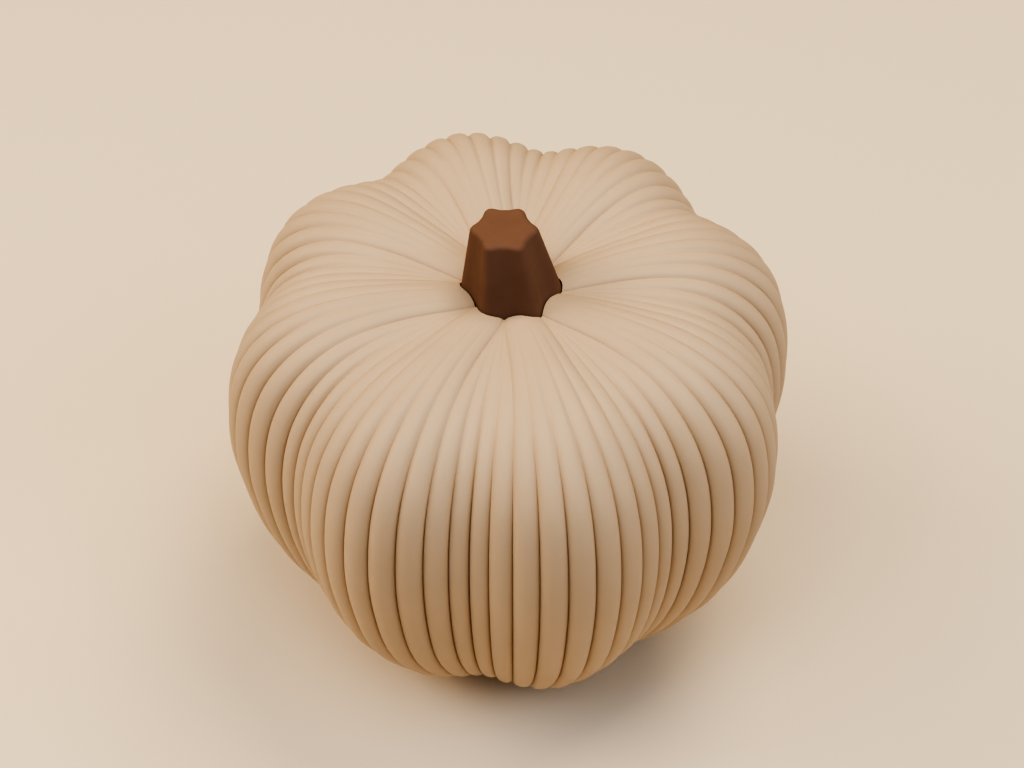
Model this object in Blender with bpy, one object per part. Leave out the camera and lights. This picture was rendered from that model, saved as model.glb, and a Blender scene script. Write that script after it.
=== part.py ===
"""Ornamental ribbed pumpkin: a lobed, finely ribbed body and a fluted stem set in its crown.

Metres, +Z up. The origin is on the table, under the middle of the body, and the front faces -Y.
The body's section is round, and its centre runs in a ring around the Z axis. The outline is
given by its reach from that centre, once on a lobe's crest and once in the valley between lobes.
"""
import math

import bmesh
import bpy
import numpy as np

MM = 0.001

# Body: eight lobes, each of nine ribs
LOBES = 8
RIBS_PER_LOBE = 9
RING_RADIUS = 30.0 * MM         # from the Z axis to the centre of the round section
RING_HEIGHT = 69.0 * MM         # from the table to the widest part of the body
FLAT_CUT = 1.5 * MM             # taken off the underside, so that the body rests on a flat spot
CROWN_ANGLE = 140.0             # where the outline meets the Z axis under the stem, in degrees
# Angle at the section's centre (0 is outward, 90 is up), reach to the crest, reach to the
# valley, and the height of a rib over its width
OUTLINE = (
    (-100.0, 69.7 * MM, 68.0 * MM, 0.20),
    (-85.0, 61.6 * MM, 57.5 * MM, 0.27),
    (-72.5, 51.0 * MM, 46.5 * MM, 0.31),
    (-60.0, 42.9 * MM, 37.9 * MM, 0.34),
    (-35.0, 33.0 * MM, 28.0 * MM, 0.35),
    (-10.0, 29.3 * MM, 24.2 * MM, 0.34),
    (15.0, 29.1 * MM, 23.9 * MM, 0.33),
    (40.0, 31.3 * MM, 26.1 * MM, 0.30),
    (65.0, 32.3 * MM, 28.6 * MM, 0.19),
    (90.0, 31.7 * MM, 29.3 * MM, 0.11),
    (115.0, 33.4 * MM, 31.8 * MM, 0.065),
    (127.5, 35.8 * MM, 34.5 * MM, 0.01),
)
LOBE_FULLNESS = 1.63            # power of the cosine that rounds a lobe between its valleys
CROWN_FULLNESS = 0.65           # the same beside the stem, where the lobes are rounder
CROWN_SIDE = 5.0 / 9.0          # and where a lobe ends, as a share of its half: two ribs early
CROWN_ANGLES = (72.0, 118.0)    # outline angles between which the one turns into the other
PINCH_ANGLES = (82.0, 127.0)    # outline angles between which the two ribs taper to nothing
PINCH_POWER = 3.0               # a larger power tapers them later
PINCH_LIMIT = 0.9               # share of their width that they lose in the end
RIB_CROWDING = 0.062            # how much the ribs beside a valley are narrowed everywhere

# Stem: a six-sided frustum with hollow sides, which leans a little towards one ridge
STEM_SIDES = 6
STEM_FOOT_HEIGHT = 92.5 * MM    # height of the foot, in the body's socket
STEM_TOP_HEIGHT = 113.4 * MM
STEM_FOOT_RADIUS = 11.2 * MM    # over the ridges
STEM_TOP_RADIUS = 6.7 * MM
STEM_SIDE_SHARE = 0.83          # radius in the middle of a side over radius on a ridge
STEM_RIDGE_POWER = 3.0          # a larger power makes a sharper ridge
STEM_TURN = math.radians(8.0)   # from the front to the middle of a side
STEM_FOOT_SHIFT = -0.4 * MM     # the leaning axis passes to either side of the body's
STEM_TOP_SHIFT = 1.4 * MM
STEM_EDGE_ROUND = 0.9 * MM      # rounding of the top edge
SOCKET_GAP = 0.35 * MM          # between the foot and its socket in the body

# Facets
RIB_COLUMNS = 4                 # close together beside a groove, wide apart on top of a rib
BODY_ROWS = 22
STEM_SIDE_COLUMNS = 6
STEM_ROWS = 4
STEM_ROUND_ROWS = 2

# Colours, linear
BODY_COLOUR = (0.56, 0.40, 0.28, 1.0)
STEM_COLOUR = (0.17, 0.09, 0.06, 1.0)


def natural_spline(knots, values, at):
    """Cubic through the values at the knots, with no bending at its two ends."""
    gaps = np.diff(knots)
    slopes = np.diff(values) / gaps
    last = len(knots) - 1
    matrix = np.eye(last + 1)
    right = np.zeros(last + 1)
    for i in range(1, last):
        matrix[i, i - 1:i + 2] = gaps[i - 1], 2.0 * (gaps[i - 1] + gaps[i]), gaps[i]
        right[i] = 6.0 * (slopes[i] - slopes[i - 1])
    bends = np.linalg.solve(matrix, right)
    at = np.clip(at, knots[0], knots[-1])
    i = np.clip(np.searchsorted(knots, at) - 1, 0, last - 1)
    behind, ahead, gap = at - knots[i], knots[i + 1] - at, gaps[i]
    return ((bends[i] * ahead ** 3 + bends[i + 1] * behind ** 3) / (6.0 * gap)
            + (values[i] / gap - bends[i] * gap / 6.0) * ahead
            + (values[i + 1] / gap - bends[i + 1] * gap / 6.0) * behind)


def outline_stations():
    """The outline's columns, closed on the Z axis below and above."""
    depth = RING_HEIGHT + FLAT_CUT
    foot_angle = -math.degrees(math.atan2(depth, -RING_RADIUS))
    foot_reach = math.hypot(RING_RADIUS, depth)
    crown_reach = -RING_RADIUS / math.cos(math.radians(CROWN_ANGLE))
    foot = (foot_angle, foot_reach, foot_reach, OUTLINE[0][3])
    crown = (CROWN_ANGLE, crown_reach, crown_reach, OUTLINE[-1][3])
    return np.array([foot, *OUTLINE, crown]).T


def ease(value, span):
    """0 below the span and 1 above it, with a smooth change between."""
    share = np.clip((value - span[0]) / (span[1] - span[0]), 0.0, 1.0)
    return share * share * (3.0 - 2.0 * share)


def pinch(angle, side):
    """How far the ribs beside a valley are drawn into it, as a share of the way."""
    start, end = PINCH_ANGLES
    share = np.clip((angle - start) / (end - start), 0.0, 1.0) ** PINCH_POWER
    return PINCH_LIMIT * share * np.minimum(side / CROWN_SIDE, 1.0) ** 2


def smooth_point(angle, lobe, across):
    """Place on the body without its ribs.

    angle is at the section's centre, in degrees; lobe counts the lobes from the front, towards
    +X; across runs from -1 to 1 between the valleys beside the lobe.
    """
    angles, crest, valley, _ = outline_stations()
    crest_reach = natural_spline(angles, crest, angle)
    valley_reach = natural_spline(angles, valley, angle)
    side = np.abs(across)
    low = np.cos(0.5 * math.pi * np.minimum(side, 1.0)) ** LOBE_FULLNESS
    high = np.cos(0.5 * math.pi * np.minimum(side / CROWN_SIDE, 1.0)) ** CROWN_FULLNESS
    fullness = low + (high - low) * ease(angle, CROWN_ANGLES)
    reach = valley_reach + (crest_reach - valley_reach) * fullness
    radius = RING_RADIUS + reach * np.cos(np.radians(angle))
    height = RING_HEIGHT + reach * np.sin(np.radians(angle))
    crowded = side + RIB_CROWDING * side * (1.0 - side) * (1.0 + 2.5 * side)
    drawn = 1.0 - (1.0 - crowded) * (1.0 - pinch(angle, side))
    around = (2.0 * lobe + 1.0 + np.sign(across) * drawn) * math.pi / LOBES
    return np.stack([radius * np.sin(around), -radius * np.cos(around), height], axis=-1)


def rib_height(angle, offset, side, point):
    """Height of a rib over the smooth body; offset runs from -1 to 1 across the rib."""
    angles, _, _, shares = outline_stations()
    width = 2.0 * math.pi * np.hypot(point[..., 0], point[..., 1]) / (LOBES * RIBS_PER_LOBE)
    dome = np.sqrt(np.maximum(1.0 - offset ** 2, 0.0))
    return np.interp(angle, angles, shares) * width * dome * (1.0 - pinch(angle, side))


def ribbed_point(angle, column, columns):
    """Place on the ribbed body, for a column counted from the valley at the front."""
    per_lobe = columns // LOBES
    per_rib = per_lobe // RIBS_PER_LOBE
    lobe = np.floor_divide(column, per_lobe)
    rib = np.floor_divide(np.mod(column, per_lobe), per_rib)
    offset = -np.cos(math.pi * np.mod(column, per_rib) / per_rib)
    across = (2.0 * rib + 1.0 + offset) / RIBS_PER_LOBE - 1.0
    point = smooth_point(angle, lobe, across)
    step = 0.001
    along = smooth_point(angle, lobe, across + step) - smooth_point(angle, lobe, across - step)
    up = smooth_point(angle + step, lobe, across) - smooth_point(angle - step, lobe, across)
    normal = np.cross(along, up)
    normal /= np.maximum(np.linalg.norm(normal, axis=-1, keepdims=True), 1e-15)
    return point + normal * rib_height(angle, offset, np.abs(across), point)[..., None]


def row_angles(rows):
    """Outline angles of the rows of facets: closest together where the crest turns most."""
    angles = outline_stations()[0]
    angle = np.linspace(angles[0], angles[-1], 721)
    points = smooth_point(angle, 0, 0.0 * angle)
    steps = np.linalg.norm(np.diff(points, axis=0), axis=1)
    length = np.concatenate([[0.0], np.cumsum(steps)])
    share = 0.6 * length / length[-1] + 0.4 * (angle - angle[0]) / (angle[-1] - angle[0])
    return np.interp(np.linspace(0.0, 1.0, rows + 1), share, angle)


def make_body(name, rib_columns, rows):
    """A sphere with columns for every rib, whose vertices are moved onto the pumpkin."""
    columns = LOBES * RIBS_PER_LOBE * rib_columns
    bpy.ops.mesh.primitive_uv_sphere_add(segments=columns, ring_count=rows, radius=1.0)
    body = bpy.context.object
    body.name = body.data.name = name
    flat = np.empty(3 * len(body.data.vertices))
    body.data.vertices.foreach_get("co", flat)
    x, y, z = flat.reshape(-1, 3).T
    row = np.rint(rows * (0.5 + np.arctan2(z, np.hypot(x, y)) / math.pi)).astype(int)
    column = np.mod(np.rint(columns * np.arctan2(x, -y) / (2.0 * math.pi)), columns)
    point = ribbed_point(row_angles(rows)[row], column, columns)
    point[(row == 0) | (row == rows), :2] = 0.0
    point[:, 2] = np.maximum(point[:, 2], 0.0)
    body.data.vertices.foreach_set("co", point.ravel())
    body.data.update()
    return body


def stem_rows(rows, round_rows, grow):
    """Heights up the stem and how far each row is drawn in; the last rows round the top edge."""
    foot = STEM_FOOT_HEIGHT - grow
    shoulder = STEM_TOP_HEIGHT - STEM_EDGE_ROUND
    heights = list(np.linspace(foot, shoulder, rows + 1))
    insets = [-grow] * (rows + 1)
    for k in range(1, round_rows + 1):
        turn = 0.5 * math.pi * k / round_rows
        heights.append(shoulder + STEM_EDGE_ROUND * math.sin(turn))
        insets.append(STEM_EDGE_ROUND * (1.0 - math.cos(turn)) - grow)
    return np.array(heights), np.array(insets)


def make_stem(name, side_columns, rows, round_rows, grow=0.0):
    """A cylinder cut into rows, whose vertices are moved onto the fluted, leaning stem."""
    columns = STEM_SIDES * side_columns
    all_rows = rows + round_rows
    bpy.ops.mesh.primitive_cylinder_add(vertices=columns, radius=1.0, depth=2.0)
    stem = bpy.context.object
    stem.name = stem.data.name = name
    mesh = bmesh.new()
    mesh.from_mesh(stem.data)
    upright = [e for e in mesh.edges if abs(e.verts[0].co.z - e.verts[1].co.z) > 1.0]
    bmesh.ops.subdivide_edges(mesh, edges=upright, cuts=all_rows - 1)
    heights, insets = stem_rows(rows, round_rows, grow)
    lean = STEM_TURN - 0.5 * math.pi
    for vertex in mesh.verts:
        row = round(0.5 * (vertex.co.z + 1.0) * all_rows)
        column = round(columns * math.atan2(vertex.co.x, -vertex.co.y) / (2.0 * math.pi))
        around = 2.0 * math.pi * column / columns
        rise = (heights[row] - STEM_FOOT_HEIGHT) / (STEM_TOP_HEIGHT - STEM_FOOT_HEIGHT)
        over_ridge = STEM_FOOT_RADIUS + (STEM_TOP_RADIUS - STEM_FOOT_RADIUS) * rise
        ridge = abs(math.sin(0.5 * STEM_SIDES * around)) ** STEM_RIDGE_POWER
        share = STEM_SIDE_SHARE + (1.0 - STEM_SIDE_SHARE) * ridge
        radius = over_ridge * share - insets[row]
        shift = STEM_FOOT_SHIFT + (STEM_TOP_SHIFT - STEM_FOOT_SHIFT) * rise
        turn = around + STEM_TURN
        vertex.co.x = radius * math.sin(turn) + shift * math.sin(lean)
        vertex.co.y = -radius * math.cos(turn) - shift * math.cos(lean)
        vertex.co.z = heights[row]
    mesh.to_mesh(stem.data)
    mesh.free()
    return stem


def make_material(name, colour, roughness):
    """A plain Principled material."""
    material = bpy.data.materials.new(name)
    material.use_nodes = True
    shader = material.node_tree.nodes["Principled BSDF"]
    shader.inputs["Base Color"].default_value = colour
    shader.inputs["Roughness"].default_value = roughness
    shader.inputs["Metallic"].default_value = 0.0
    return material


def make_collection(name):
    """A new collection in the scene."""
    collection = bpy.data.collections.new(name)
    bpy.context.scene.collection.children.link(collection)
    return collection


def move_to(item, collection):
    """Take an object out of its collections and put it in this one."""
    for old in list(item.users_collection):
        old.objects.unlink(item)
    collection.objects.link(item)


def cut_socket(body, cutter):
    """Sink the stem's socket into the crown of the body."""
    cutter.hide_render = True
    cutter.display_type = "WIRE"
    cut = body.modifiers.new("stem_socket", "BOOLEAN")
    cut.operation = "DIFFERENCE"
    cut.solver = "EXACT"
    cut.object = cutter


def main():
    """Build the body and the stem."""
    for item in list(bpy.data.objects):
        bpy.data.objects.remove(item)
    pumpkin = make_collection("ornamental_pumpkin")
    cutters = make_collection("cutters")

    body = make_body("pumpkin_body", RIB_COLUMNS, BODY_ROWS)
    body.data.materials.append(make_material("body_matte", BODY_COLOUR, 0.65))
    body.data.shade_smooth()
    body.data.set_sharp_from_angle(angle=math.radians(50.0))
    move_to(body, pumpkin)

    stem = make_stem("stem", STEM_SIDE_COLUMNS, STEM_ROWS, STEM_ROUND_ROWS)
    stem.data.materials.append(make_material("stem_matte", STEM_COLOUR, 0.55))
    stem.data.shade_smooth()
    stem.data.set_sharp_from_angle(angle=math.radians(40.0))
    move_to(stem, pumpkin)

    socket = make_stem("stem_socket", STEM_SIDE_COLUMNS, STEM_ROWS, STEM_ROUND_ROWS, SOCKET_GAP)
    move_to(socket, cutters)
    cut_socket(body, socket)


main()
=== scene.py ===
"""Looks of the ornamental ribbed pumpkin: its body, its fluted stem, and a plain studio.

Metres, +Z up, in the frame of the CAD model: the origin is on the table under the middle of the
body, and the front faces -Y.
"""
import logging
import math
from collections.abc import Iterable, Mapping
from dataclasses import dataclass
from enum import Enum

import bpy
import numpy as np
from bpy.types import Material, Node, NodeSocket, NodeTree, Object
from mathutils import Matrix, Vector


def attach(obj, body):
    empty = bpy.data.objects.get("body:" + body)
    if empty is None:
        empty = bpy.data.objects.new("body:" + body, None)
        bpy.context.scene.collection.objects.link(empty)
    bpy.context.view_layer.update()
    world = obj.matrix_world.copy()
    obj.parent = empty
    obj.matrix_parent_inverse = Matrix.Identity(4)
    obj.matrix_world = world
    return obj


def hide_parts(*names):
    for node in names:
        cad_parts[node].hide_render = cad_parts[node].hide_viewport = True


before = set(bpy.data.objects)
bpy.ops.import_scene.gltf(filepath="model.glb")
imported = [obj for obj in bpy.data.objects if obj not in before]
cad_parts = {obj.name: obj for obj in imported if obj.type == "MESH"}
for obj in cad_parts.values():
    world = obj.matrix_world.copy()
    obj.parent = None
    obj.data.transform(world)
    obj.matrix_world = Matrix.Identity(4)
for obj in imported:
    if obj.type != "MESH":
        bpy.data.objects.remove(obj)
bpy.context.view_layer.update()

MM = 0.001
MERGE_GAP = 0.001 * MM      # points closer than this are one point
TINY = 1e-15                # least length of a vector that is divided by its length
AIM_HEIGHT = 50.0 * MM      # height of the spot over the origin that every light faces
ROOT = "root"
log = logging.getLogger("ornamental_pumpkin")


class Slot(Enum):
    """Material slots of the part's record."""

    BODY = "body"
    STEM = "stem"


# ---------------------------------------------------------------- helpers


def linear(colour: str) -> tuple[float, float, float, float]:
    """Turn an sRGB hex colour into the linear values that a shader works in.

    Args:
        colour: Six hex digits after a hash sign.

    Returns:
        Linear red, green and blue, and an opacity of 1.
    """
    shares = [int(colour[i:i + 2], 16) / 255.0 for i in (1, 3, 5)]
    red, green, blue = (
        s / 12.92 if s <= 0.04045 else ((s + 0.055) / 1.055) ** 2.4 for s in shares
    )
    return red, green, blue, 1.0


def add_node(
    tree: NodeTree,
    kind: str,
    links: Mapping[str | int, NodeSocket] | None = None,
    values: Mapping[str | int, object] | None = None,
    **settings: object,
) -> Node:
    """Add a node with its settings, its input values and the links into it.

    Args:
        tree: Node tree that the node goes into.
        kind: Blender's name of the node type.
        links: Output sockets by the name or number of the input they feed.
        values: Constants by the name or number of the input that holds them.
        **settings: Properties of the node itself.

    Returns:
        The new node.
    """
    node = tree.nodes.new(kind)
    for name, value in settings.items():
        setattr(node, name, value)
    for key, value in (values or {}).items():
        node.inputs[key].default_value = value
    for key, socket in (links or {}).items():
        tree.links.new(socket, node.inputs[key])
    return node


def start_material(name: str) -> tuple[Material, NodeTree, Node]:
    """Make a node material that holds only its Principled shader.

    Args:
        name: Name of the material.

    Returns:
        The material, its node tree and its Principled shader.
    """
    material = bpy.data.materials.new(name)
    material.use_nodes = True
    tree = material.node_tree
    return material, tree, tree.nodes["Principled BSDF"]


def add_clouds(
    tree: NodeTree,
    place: NodeSocket,
    size: float,
    span: tuple[float, float],
    tones: tuple[str, str],
) -> NodeSocket:
    """Add a colour that drifts softly between two tones.

    Args:
        tree: Node tree of the material.
        place: Socket that gives the places on the surface.
        size: Size of the clouds, in metres.
        span: Levels of the noise, from 0 to 1, at which each tone is pure.
        tones: Hex colour at each end of the span.

    Returns:
        Socket of the colour.
    """
    noise = add_node(
        tree, "ShaderNodeTexNoise", {"Vector": place},
        {"Scale": 1.0 / size, "Detail": 3.0, "Roughness": 0.5},
    )
    ramp = add_node(tree, "ShaderNodeValToRGB", {"Fac": noise.outputs["Fac"]})
    for stop, level, tone in zip(ramp.color_ramp.elements, span, tones):
        stop.position = level
        stop.color = linear(tone)
    return ramp.outputs["Color"]


def add_grain(
    tree: NodeTree, shader: Node, place: NodeSocket, size: float, height: float,
) -> None:
    """Give a shader a fine, even grain.

    Args:
        tree: Node tree of the material.
        shader: The material's Principled shader.
        place: Socket that gives the places on the surface.
        size: Size of the grains, in metres.
        height: Height of the grains, in metres.
    """
    noise = add_node(
        tree, "ShaderNodeTexNoise", {"Vector": place},
        {"Scale": 1.0 / size, "Detail": 2.0, "Roughness": 0.6},
    )
    bump = add_node(
        tree, "ShaderNodeBump", {"Height": noise.outputs["Fac"]},
        {"Strength": 1.0, "Distance": height},
    )
    tree.links.new(bump.outputs["Normal"], shader.inputs["Normal"])


def deselect_all() -> None:
    """Leave nothing selected, as the loaded model is."""
    for item in bpy.context.selected_objects:
        item.select_set(False)


def name_piece(name: str) -> Object:
    """Name the active object and its mesh."""
    piece = bpy.context.object
    piece.name = piece.data.name = name
    return piece


def select_vertices(piece: Object, chosen: Iterable[int]) -> None:
    """Select just these vertices of a piece, and open it in edit mode.

    Args:
        piece: Piece in object mode.
        chosen: Numbers of its vertices.
    """
    bpy.context.view_layer.objects.active = piece
    bpy.ops.object.mode_set(mode="EDIT")
    bpy.ops.mesh.select_mode(type="VERT")
    bpy.ops.mesh.select_all(action="DESELECT")
    bpy.ops.object.mode_set(mode="OBJECT")
    for number in chosen:
        piece.data.vertices[number].select = True
    bpy.ops.object.mode_set(mode="EDIT")


def vertex_places(piece: Object) -> np.ndarray:
    """Return the places of a piece's vertices, one row each."""
    flat = np.empty(3 * len(piece.data.vertices))
    piece.data.vertices.foreach_get("co", flat)
    return flat.reshape(-1, 3)


def natural_spline(knots: np.ndarray, values: np.ndarray, at: np.ndarray) -> np.ndarray:
    """Read a cubic curve that passes the knots and doesn't bend at its two ends.

    Args:
        knots: Places of the knots, rising.
        values: Value at each knot.
        at: Places to read the curve at.

    Returns:
        The curve's values.
    """
    gaps = np.diff(knots)
    slopes = np.diff(values) / gaps
    last = len(knots) - 1
    # The bends (second derivatives) at the knots solve one row of equations per inner knot.
    matrix = np.eye(last + 1)
    right = np.zeros(last + 1)
    for i in range(1, last):
        matrix[i, i - 1:i + 2] = gaps[i - 1], 2.0 * (gaps[i - 1] + gaps[i]), gaps[i]
        right[i] = 6.0 * (slopes[i] - slopes[i - 1])
    bends = np.linalg.solve(matrix, right)
    at = np.clip(at, knots[0], knots[-1])
    i = np.clip(np.searchsorted(knots, at) - 1, 0, last - 1)
    behind, ahead, gap = at - knots[i], knots[i + 1] - at, gaps[i]
    return ((bends[i] * ahead ** 3 + bends[i + 1] * behind ** 3) / (6.0 * gap)
            + (values[i] / gap - bends[i] * gap / 6.0) * ahead
            + (values[i + 1] / gap - bends[i + 1] * gap / 6.0) * behind)


def ease(value: np.ndarray, span: tuple[float, float]) -> np.ndarray:
    """Return 0 below the span and 1 above it, with a smooth change between."""
    share = np.clip((value - span[0]) / (span[1] - span[0]), 0.0, 1.0)
    return share * share * (3.0 - 2.0 * share)


# ---------------------------------------------------------------- finishes


@dataclass(frozen=True)
class MattLacquer:
    """Matt lacquer sprayed on a cast resin body.

    Cast resin takes a soft, chalky lacquer well: no shine, an even warm beige, a fine sprayed
    grain. The sharp grooves between the ribs get a slightly warmer, darker tone, which is painted
    shade that deepens their shadow.
    """

    colour: str = "#bba38a"
    worn_colour: str = "#c0a88f"
    # painted shade: the darker tone laid into the sharp grooves between the ribs
    groove_shade_colour: str = "#b89f86"
    roughness: float = 0.62
    refraction: float = 1.46
    groove_shade_attribute: str = "groove_shade"
    cloud_size: float = 22.0 * MM
    cloud_span: tuple[float, float] = (0.3, 0.7)
    grain_size: float = 0.8 * MM
    grain_height: float = 0.012 * MM

    def build(self, name: str) -> Material:
        """Make the lacquer's material.

        Args:
            name: Name of the material.

        Returns:
            The material.
        """
        material, tree, shader = start_material(name)
        place = add_node(tree, "ShaderNodeTexCoord").outputs["Object"]
        clouds = add_clouds(
            tree, place, self.cloud_size, self.cloud_span, (self.colour, self.worn_colour),
        )
        # Painted shade: the groove mask mixes the darker groove colour into the sharp grooves.
        groove_shade = add_node(tree, "ShaderNodeAttribute", attribute_name=self.groove_shade_attribute)
        # Of a colour mix, inputs 0, 6 and 7 are the factor and its two colours, and output 2
        # is the result.
        tinted = add_node(
            tree, "ShaderNodeMix", {0: groove_shade.outputs["Fac"], 6: clouds},
            {7: linear(self.groove_shade_colour)}, data_type="RGBA",
        )
        tree.links.new(tinted.outputs[2], shader.inputs["Base Color"])
        add_grain(tree, shader, place, self.grain_size, self.grain_height)
        shader.inputs["Roughness"].default_value = self.roughness
        shader.inputs["IOR"].default_value = self.refraction
        return material


@dataclass(frozen=True)
class DyedResin:
    """Cast resin dyed dark brown, with a matt moulded surface.

    The dye goes right through, so ridges and hollow sides are the same red-brown, only barely
    cloudy. The mould leaves a fine grain, which breaks up the light and leaves almost no sheen.
    """

    colour: str = "#745648"
    dark_colour: str = "#715345"
    roughness: float = 0.7
    sheen_level: float = 0.15
    cloud_size: float = 6.0 * MM
    cloud_span: tuple[float, float] = (0.35, 0.65)
    grain_size: float = 0.5 * MM
    grain_height: float = 0.008 * MM

    def build(self, name: str) -> Material:
        """Make the resin's material.

        Args:
            name: Name of the material.

        Returns:
            The material.
        """
        material, tree, shader = start_material(name)
        place = add_node(tree, "ShaderNodeTexCoord").outputs["Object"]
        clouds = add_clouds(
            tree, place, self.cloud_size, self.cloud_span, (self.dark_colour, self.colour),
        )
        tree.links.new(clouds, shader.inputs["Base Color"])
        add_grain(tree, shader, place, self.grain_size, self.grain_height)
        shader.inputs["Roughness"].default_value = self.roughness
        shader.inputs["Specular IOR Level"].default_value = self.sheen_level
        return material


@dataclass(frozen=True)
class PaleTable:
    """Pale painted table top: plain and matt."""

    colour: str = "#e2d0bb"
    roughness: float = 0.7

    def build(self, name: str) -> Material:
        """Make the table top's material.

        Args:
            name: Name of the material.

        Returns:
            The material.
        """
        material, _, shader = start_material(name)
        shader.inputs["Base Color"].default_value = linear(self.colour)
        shader.inputs["Roughness"].default_value = self.roughness
        return material


# ---------------------------------------------------------------- pieces


@dataclass
class FlutedStem:
    """Six-sided stem with hollow sides, which leans a little towards one ridge."""

    sides: int = 6
    foot_height: float = 92.5 * MM
    top_height: float = 113.4 * MM
    foot_radius: float = 11.2 * MM
    top_radius: float = 6.7 * MM
    side_share: float = 0.83
    ridge_power: float = 3.0
    turn: float = math.radians(8.0)
    foot_shift: float = -0.4 * MM
    top_shift: float = 1.4 * MM
    edge_round: float = 0.9 * MM
    side_columns: int = 16
    round_rows: int = 5
    smooth_angle: float = math.radians(40.0)

    def build(self, name: str, grow: float = 0.0) -> Object:
        """Model the stem: a cylinder is fluted, tapered, leant and rounded at its top edge.

        Args:
            name: Name of the piece.
            grow: Room added all round, for the socket that the stem stands in.

        Returns:
            The stem's object.
        """
        columns = self.sides * self.side_columns
        depth = self.top_height - self.foot_height + grow
        deselect_all()
        bpy.ops.mesh.primitive_cylinder_add(
            vertices=columns, radius=self.foot_radius, depth=depth,
            location=(0.0, 0.0, self.top_height - 0.5 * depth),
        )
        bpy.ops.object.transform_apply(location=True, rotation=True, scale=True)
        stem = name_piece(name)
        places = vertex_places(stem)
        column = np.rint(columns * np.arctan2(places[:, 0], -places[:, 1]) / (2.0 * math.pi))
        ridge = np.abs(np.sin(math.pi * column / self.side_columns)) ** self.ridge_power
        shares = self.side_share + (1.0 - self.side_share) * ridge
        top = places[:, 2] > self.top_height - 0.5 * depth
        rise = np.where(top, 1.0, -grow / (self.top_height - self.foot_height))
        over_ridge = self.foot_radius + (self.top_radius - self.foot_radius) * rise
        shift = self.foot_shift + (self.top_shift - self.foot_shift) * rise
        lean = self.turn - 0.5 * math.pi
        around = 2.0 * math.pi * column / columns + self.turn
        radius = over_ridge * shares + grow
        places[:, 0] = radius * np.sin(around) + shift * math.sin(lean)
        places[:, 1] = -radius * np.cos(around) - shift * math.cos(lean)
        stem.data.vertices.foreach_set("co", places.ravel())
        stem.data.update()
        self.round_top_edge(stem)
        return stem

    def round_top_edge(self, stem: Object) -> None:
        """Bevel the edges around the top face."""
        high = self.top_height - MERGE_GAP
        select_vertices(stem, [v.index for v in stem.data.vertices if v.co.z > high])
        bpy.ops.mesh.bevel(
            offset_type="OFFSET", offset=self.edge_round, segments=self.round_rows,
            profile=0.5, affect="EDGES",
        )
        bpy.ops.object.mode_set(mode="OBJECT")

    def dress(self, stem: Object) -> None:
        """Give the stem its finish and its place on the CAD body."""
        stem.data.materials.append(DyedResin().build("dyed_matt_resin"))
        bpy.ops.object.shade_smooth_by_angle(angle=self.smooth_angle)
        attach(stem, ROOT)
        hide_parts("stem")


@dataclass
class RibbedBody:
    """Eight lobes of nine ribs each, over a round section whose centre runs in a ring.

    Each station of the outline holds its angle at the section's centre in degrees (0 is outward,
    90 is up), its reach to a lobe's crest, its reach to the valley between two lobes, and the
    height of a rib over its width.

    Over crown_angles the lobes turn from the shape of the belly, which lobe_fullness sets, into
    pillow-like ends, which crown_fullness sets and which span crown_side of a lobe. Over
    pinch_angles the ribs on both sides of a valley are drawn into it and taper to almost nothing.
    Over softening_angles the grooves turn from sharp to soft.
    """

    lobes: int = 8
    ribs_per_lobe: int = 9
    ring_radius: float = 30.0 * MM
    ring_height: float = 69.0 * MM
    flat_cut: float = 1.5 * MM
    crown_angle: float = 140.0
    outline: tuple[tuple[float, float, float, float], ...] = (
        (-100.0, 69.7 * MM, 68.0 * MM, 0.20),
        (-85.0, 61.6 * MM, 57.5 * MM, 0.27),
        (-72.5, 51.0 * MM, 46.5 * MM, 0.31),
        (-60.0, 42.9 * MM, 37.9 * MM, 0.34),
        (-35.0, 33.0 * MM, 28.0 * MM, 0.35),
        (-10.0, 29.3 * MM, 24.2 * MM, 0.34),
        (15.0, 29.1 * MM, 23.9 * MM, 0.33),
        (40.0, 31.3 * MM, 26.1 * MM, 0.30),
        (65.0, 32.3 * MM, 28.6 * MM, 0.19),
        (90.0, 31.7 * MM, 29.3 * MM, 0.11),
        (115.0, 33.4 * MM, 31.8 * MM, 0.065),
        (127.5, 35.8 * MM, 34.5 * MM, 0.01),
    )
    lobe_fullness: float = 1.63
    crown_fullness: float = 0.65
    crown_angles: tuple[float, float] = (72.0, 118.0)
    crown_side: float = 5.0 / 9.0
    rib_crowding: float = 0.062
    crowding_skew: float = 2.5
    pinch_angles: tuple[float, float] = (82.0, 127.0)
    pinch_power: float = 3.0
    pinch_limit: float = 0.9
    softening_angles: tuple[float, float] = (14.0, 90.0)
    soft_groove_power: float = 2.2
    socket_gap: float = 0.35 * MM
    rib_columns: int = 10
    rows: int = 130
    row_samples: int = 721
    probe_step: float = 0.001
    smooth_angle: float = math.radians(38.0)
    # Painted shade: name and steepness of the mask that darkens the sharp grooves between ribs.
    groove_shade_attribute: str = "groove_shade"
    groove_shade_power: int = 8

    def stations(self) -> np.ndarray:
        """Return the outline's columns, closed on the Z axis at both ends."""
        depth = self.ring_height + self.flat_cut
        foot_angle = -math.degrees(math.atan2(depth, -self.ring_radius))
        foot_reach = math.hypot(self.ring_radius, depth)
        crown_reach = -self.ring_radius / math.cos(math.radians(self.crown_angle))
        foot = (foot_angle, foot_reach, foot_reach, self.outline[0][3])
        crown = (self.crown_angle, crown_reach, crown_reach, self.outline[-1][3])
        return np.array([foot, *self.outline, crown]).T

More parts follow.
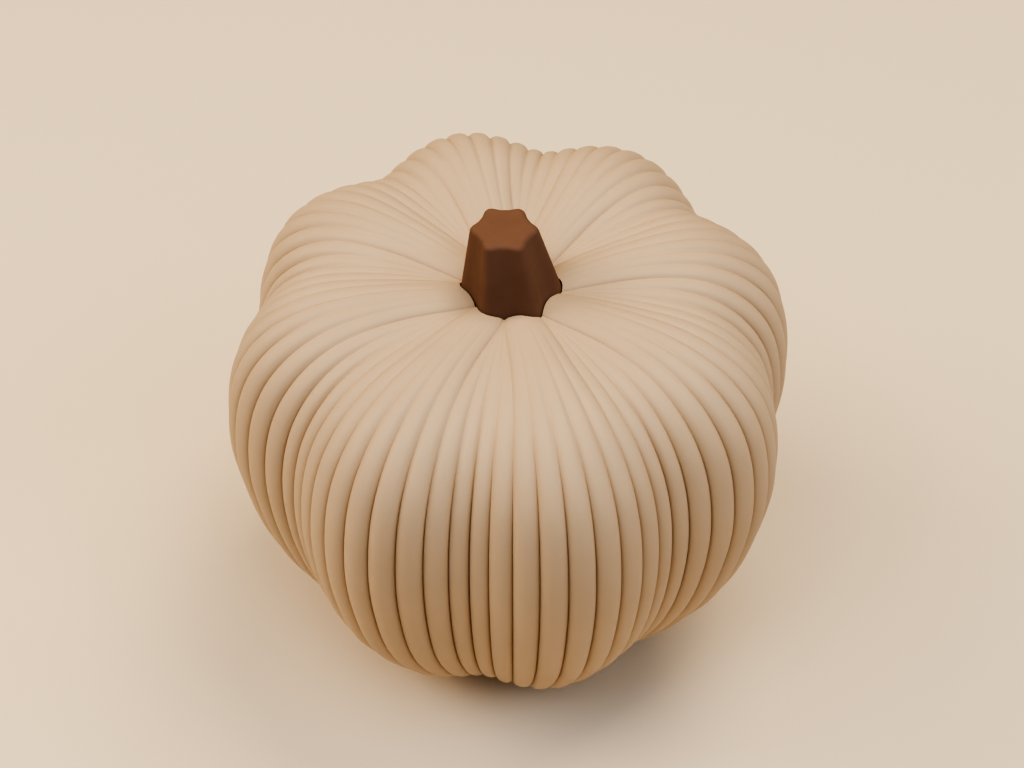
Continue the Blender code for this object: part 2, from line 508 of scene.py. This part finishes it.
    def smooth_point(
        self, angle: np.ndarray, lobe: np.ndarray | int, across: np.ndarray | float,
    ) -> np.ndarray:
        """Find places on the body without its ribs.

        Args:
            angle: Angle at the section's centre, in degrees.
            lobe: Number of the lobe, counted from the front towards +X.
            across: From -1 to 1 between the valleys beside the lobe.

        Returns:
            Places, one row each.
        """
        angles, crest, valley, _ = self.stations()
        crest_reach = natural_spline(angles, crest, angle)
        valley_reach = natural_spline(angles, valley, angle)
        side = np.abs(across)
        reach = valley_reach + (crest_reach - valley_reach) * self.fullness(angle, side)
        radius = self.ring_radius + reach * np.cos(np.radians(angle))
        height = self.ring_height + reach * np.sin(np.radians(angle))
        skew = 1.0 + self.crowding_skew * side
        crowded = side + self.rib_crowding * side * (1.0 - side) * skew
        drawn = 1.0 - (1.0 - crowded) * (1.0 - self.pinch(angle, side))
        around = (2.0 * lobe + 1.0 + np.sign(across) * drawn) * math.pi / self.lobes
        return np.stack([radius * np.sin(around), -radius * np.cos(around), height], axis=-1)

    def crown_place(self, side: np.ndarray) -> np.ndarray:
        """Return places across a lobe's end, from 0 on its crest to 1 where the ribs taper."""
        return np.minimum(side / self.crown_side, 1.0)

    def fullness(self, angle: np.ndarray, side: np.ndarray) -> np.ndarray:
        """Find how far a lobe stands over its valleys.

        Args:
            angle: Angle at the section's centre, in degrees.
            side: From 0 on a lobe's crest to 1 in the valley.

        Returns:
            Shares of the crest's own height over the valley, from 0 to 1.
        """
        belly = np.cos(0.5 * math.pi * np.minimum(side, 1.0)) ** self.lobe_fullness
        crown = np.cos(0.5 * math.pi * self.crown_place(side)) ** self.crown_fullness
        return belly + (crown - belly) * ease(angle, self.crown_angles)

    def pinch(self, angle: np.ndarray, side: np.ndarray) -> np.ndarray:
        """Find how far the ribs beside a valley are drawn into it, close to the stem.

        Args:
            angle: Angle at the section's centre, in degrees.
            side: From 0 on a lobe's crest to 1 in the valley.

        Returns:
            Shares of the distance to the valley, from 0 to 1.
        """
        start, end = self.pinch_angles
        share = np.clip((angle - start) / (end - start), 0.0, 1.0) ** self.pinch_power
        return self.pinch_limit * share * self.crown_place(side) ** 2

    def softness(self, angle: np.ndarray) -> np.ndarray:
        """Return how soft the grooves are at these outline angles, from 0 (sharp) to 1."""
        return ease(angle, self.softening_angles)

    def rib_height(
        self, angle: np.ndarray, offset: np.ndarray, side: np.ndarray, point: np.ndarray,
    ) -> np.ndarray:
        """Find how far the ribs stand over the smooth body.

        Low down, each rib is round and meets its neighbour in a sharp groove. Towards the stem
        the ribs are lower, and the grooves between them are soft.

        Args:
            angle: Angle at the section's centre, in degrees.
            offset: From -1 to 1 across each rib.
            side: From 0 on a lobe's crest to 1 in the valley.
            point: Places on the smooth body.

        Returns:
            Heights in metres.
        """
        ribs = self.lobes * self.ribs_per_lobe
        width = 2.0 * math.pi * np.hypot(point[..., 0], point[..., 1]) / ribs
        angles, _, _, shares = self.stations()
        round_dome = np.sqrt(np.maximum(1.0 - offset ** 2, 0.0))
        soft_dome = np.cos(0.5 * math.pi * np.abs(offset) ** self.soft_groove_power) ** 2
        dome = round_dome + (soft_dome - round_dome) * self.softness(angle)
        return np.interp(angle, angles, shares) * width * dome * (1.0 - self.pinch(angle, side))

    def ribbed_point(
        self, angle: np.ndarray, column: np.ndarray,
    ) -> tuple[np.ndarray, np.ndarray]:
        """Find places on the ribbed body.

        The columns are close together beside a groove and wide apart on top of a rib, so that
        each rib turns evenly from one column to the next.

        Args:
            angle: Angle at the section's centre, in degrees.
            column: Number of the column, counted from the valley at the front.

        Returns:
            Places, one row each, and their offsets from -1 to 1 across the rib.
        """
        per_lobe = self.ribs_per_lobe * self.rib_columns
        lobe = np.floor_divide(column, per_lobe)
        rib = np.floor_divide(np.mod(column, per_lobe), self.rib_columns)
        offset = -np.cos(math.pi * np.mod(column, self.rib_columns) / self.rib_columns)
        across = (2.0 * rib + 1.0 + offset) / self.ribs_per_lobe - 1.0
        point = self.smooth_point(angle, lobe, across)
        step = self.probe_step
        right = self.smooth_point(angle, lobe, across + step)
        left = self.smooth_point(angle, lobe, across - step)
        above = self.smooth_point(angle + step, lobe, across)
        below = self.smooth_point(angle - step, lobe, across)
        normal = np.cross(right - left, above - below)
        normal /= np.maximum(np.linalg.norm(normal, axis=-1, keepdims=True), TINY)
        rise = self.rib_height(angle, offset, np.abs(across), point)
        return point + normal * rise[..., None], offset

    def row_angles(self) -> np.ndarray:
        """Return the outline angles of the rows, spaced evenly along the crest."""
        angles = self.stations()[0]
        angle = np.linspace(angles[0], angles[-1], self.row_samples)
        points = self.smooth_point(angle, 0, 0.0)
        steps = np.linalg.norm(np.diff(points, axis=0), axis=1)
        length = np.concatenate([[0.0], np.cumsum(steps)])
        return np.interp(np.linspace(0.0, length[-1], self.rows + 1), length, angle)

    def build(self, name: str) -> Object:
        """Model the body: a grid with columns for every rib is wrapped into the pumpkin.

        Args:
            name: Name of the piece.

        Returns:
            The body's object.
        """
        columns = self.lobes * self.ribs_per_lobe * self.rib_columns
        deselect_all()
        bpy.ops.mesh.primitive_grid_add(
            x_subdivisions=columns, y_subdivisions=self.rows, size=1.0,
        )
        body = name_piece(name)
        places = vertex_places(body)
        column = np.mod(np.rint(columns * (places[:, 0] + 0.5)), columns)
        row = np.rint(self.rows * (places[:, 1] + 0.5)).astype(int)
        angle = self.row_angles()[row]
        point, offset = self.ribbed_point(angle, column)
        pole = (row == 0) | (row == self.rows)
        point[pole, :2] = 0.0
        point[:, 2] = np.maximum(point[:, 2], 0.0)
        body.data.vertices.foreach_set("co", point.ravel())
        # Painted shade: a mask that is 1 in the sharp grooves, falls off towards the rib tops and
        # fades where the grooves turn soft; the lacquer darkens the colour by it.
        sharpness = 1.0 - self.softness(angle)
        groove_shade = np.where(pole, 0.0, np.abs(offset) ** self.groove_shade_power * sharpness)
        attribute = body.data.attributes.new(self.groove_shade_attribute, "FLOAT", "POINT")
        attribute.data.foreach_set("value", groove_shade.astype(np.float32))
        body.data.update()
        bpy.ops.object.mode_set(mode="EDIT")
        bpy.ops.mesh.select_all(action="SELECT")
        bpy.ops.mesh.remove_doubles(threshold=MERGE_GAP)
        bpy.ops.object.mode_set(mode="OBJECT")
        return body

    def cut_socket(self, body: Object, stem: FlutedStem) -> None:
        """Sink the stem's socket into the crown.

        Args:
            body: The body's object.
            stem: Stem that stands in the socket.
        """
        cutter = stem.build("stem_socket", grow=self.socket_gap)
        deselect_all()
        bpy.context.view_layer.objects.active = body
        body.select_set(True)
        cut = body.modifiers.new("stem_socket", "BOOLEAN")
        cut.operation = "DIFFERENCE"
        cut.solver = "MANIFOLD"
        cut.object = cutter
        bpy.ops.object.modifier_apply(modifier=cut.name)
        bpy.data.objects.remove(cutter)

    def dress(self, body: Object) -> None:
        """Give the body its finish and its place on the CAD body."""
        body.data.materials.clear()
        body.data.materials.append(
            MattLacquer(groove_shade_attribute=self.groove_shade_attribute).build("matt_lacquered_resin")
        )
        bpy.ops.object.shade_smooth_by_angle(angle=self.smooth_angle)
        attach(body, ROOT)
        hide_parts("pumpkin_body")


# ---------------------------------------------------------------- studio


class LightColour(Enum):
    """Colours of the light: lamps behind and on the left, daylight in front and on the right."""

    WARM = "#ffe9c1"
    COOL = "#e9f5ff"
    ROOM = "#fff8e6"


@dataclass(frozen=True)
class SoftLight:
    """Square softbox that faces the object.

    Its azimuth is counted from the front towards +X, and both angles are in degrees.
    """

    name: str
    azimuth: float
    elevation: float
    power: float
    colour: LightColour
    distance: float = 1.2
    size: float = 0.6

    def build(self) -> Object:
        """Add the light to the scene."""
        lamp = bpy.data.lights.new(self.name, "AREA")
        lamp.shape = "SQUARE"
        lamp.size = self.size
        lamp.energy = self.power
        lamp.color = linear(self.colour.value)[:3]
        light = bpy.data.objects.new(self.name, lamp)
        bpy.context.scene.collection.objects.link(light)
        turn, rise = math.radians(self.azimuth), math.radians(self.elevation)
        target = Vector((0.0, 0.0, AIM_HEIGHT))
        away = Vector((
            math.cos(rise) * math.sin(turn), -math.cos(rise) * math.cos(turn), math.sin(rise),
        ))
        light.location = target + self.distance * away
        light.rotation_euler = away.to_track_quat("Z", "Y").to_euler()
        return light


@dataclass
class Studio:
    """Pale table top, soft light and the camera."""

    floor_size: float = 6.0
    camera_place: tuple[float, float, float] = (0.04917, -0.31205, 0.41503)
    camera_azimuth: float = math.radians(8.933)
    camera_tilt: float = math.radians(47.741)
    camera_roll: float = math.radians(-0.141)
    focal_length: float = 77.34
    sensor_width: float = 36.0
    nearest: float = 10.0 * MM
    sky_strength: float = 0.058
    lights: tuple[SoftLight, ...] = (
        SoftLight("overhead_back", 135.0, 70.0, 7.90, LightColour.WARM),
        SoftLight("overhead_left", -45.0, 70.0, 2.06, LightColour.WARM),
        SoftLight("high_side_left", -90.0, 50.0, 2.48, LightColour.WARM),
        SoftLight("side_left", -90.0, 30.0, 4.60, LightColour.WARM),
        SoftLight("overhead_front", 0.0, 70.0, 2.33, LightColour.COOL),
        SoftLight("high_right", 45.0, 50.0, 2.05, LightColour.COOL),
        SoftLight("high_left", -45.0, 50.0, 2.22, LightColour.COOL),
        SoftLight("side_right", 90.0, 30.0, 2.40, LightColour.COOL),
    )

    def add_floor(self) -> None:
        """Lay the table top."""
        deselect_all()
        bpy.ops.mesh.primitive_plane_add(size=self.floor_size)
        floor = name_piece("table_top")
        floor.data.materials.append(PaleTable().build("pale_table_top"))

    def add_light(self) -> None:
        """Light the room and set up the softboxes."""
        world = bpy.data.worlds.new("room")
        world.use_nodes = True
        background = world.node_tree.nodes["Background"]
        background.inputs["Color"].default_value = linear(LightColour.ROOM.value)
        background.inputs["Strength"].default_value = self.sky_strength
        bpy.context.scene.world = world
        for light in self.lights:
            light.build()

    def add_camera(self) -> None:
        """Set up the camera."""
        lens = bpy.data.cameras.new("camera")
        lens.sensor_width = self.sensor_width
        lens.lens = self.focal_length
        lens.clip_start = self.nearest
        camera = bpy.data.objects.new("camera", lens)
        bpy.context.scene.collection.objects.link(camera)
        turn = (
            Matrix.Rotation(self.camera_azimuth, 4, "Z")
            @ Matrix.Rotation(0.5 * math.pi - self.camera_tilt, 4, "X")
            @ Matrix.Rotation(self.camera_roll, 4, "Z")
        )
        camera.matrix_world = Matrix.Translation(self.camera_place) @ turn
        bpy.context.scene.camera = camera


def main() -> None:
    """Build the pumpkin and the studio around it."""
    logging.basicConfig(level=logging.INFO, format="%(name)s: %(message)s")
    bpy.context.scene.view_settings.view_transform = "AgX"
    bpy.context.scene.view_settings.look = "AgX - Very High Contrast"
    stem_plan = FlutedStem()
    body_plan = RibbedBody()

    body = body_plan.build("ribbed_body")
    body_plan.cut_socket(body, stem_plan)
    body_plan.dress(body)
    log.info("%s: %d faces", body.name, len(body.data.polygons))

    stem = stem_plan.build("fluted_stem")
    stem_plan.dress(stem)
    log.info("%s: %d faces", stem.name, len(stem.data.polygons))

    studio = Studio()
    studio.add_floor()
    studio.add_light()
    studio.add_camera()


if __name__ == "__main__":
    main()
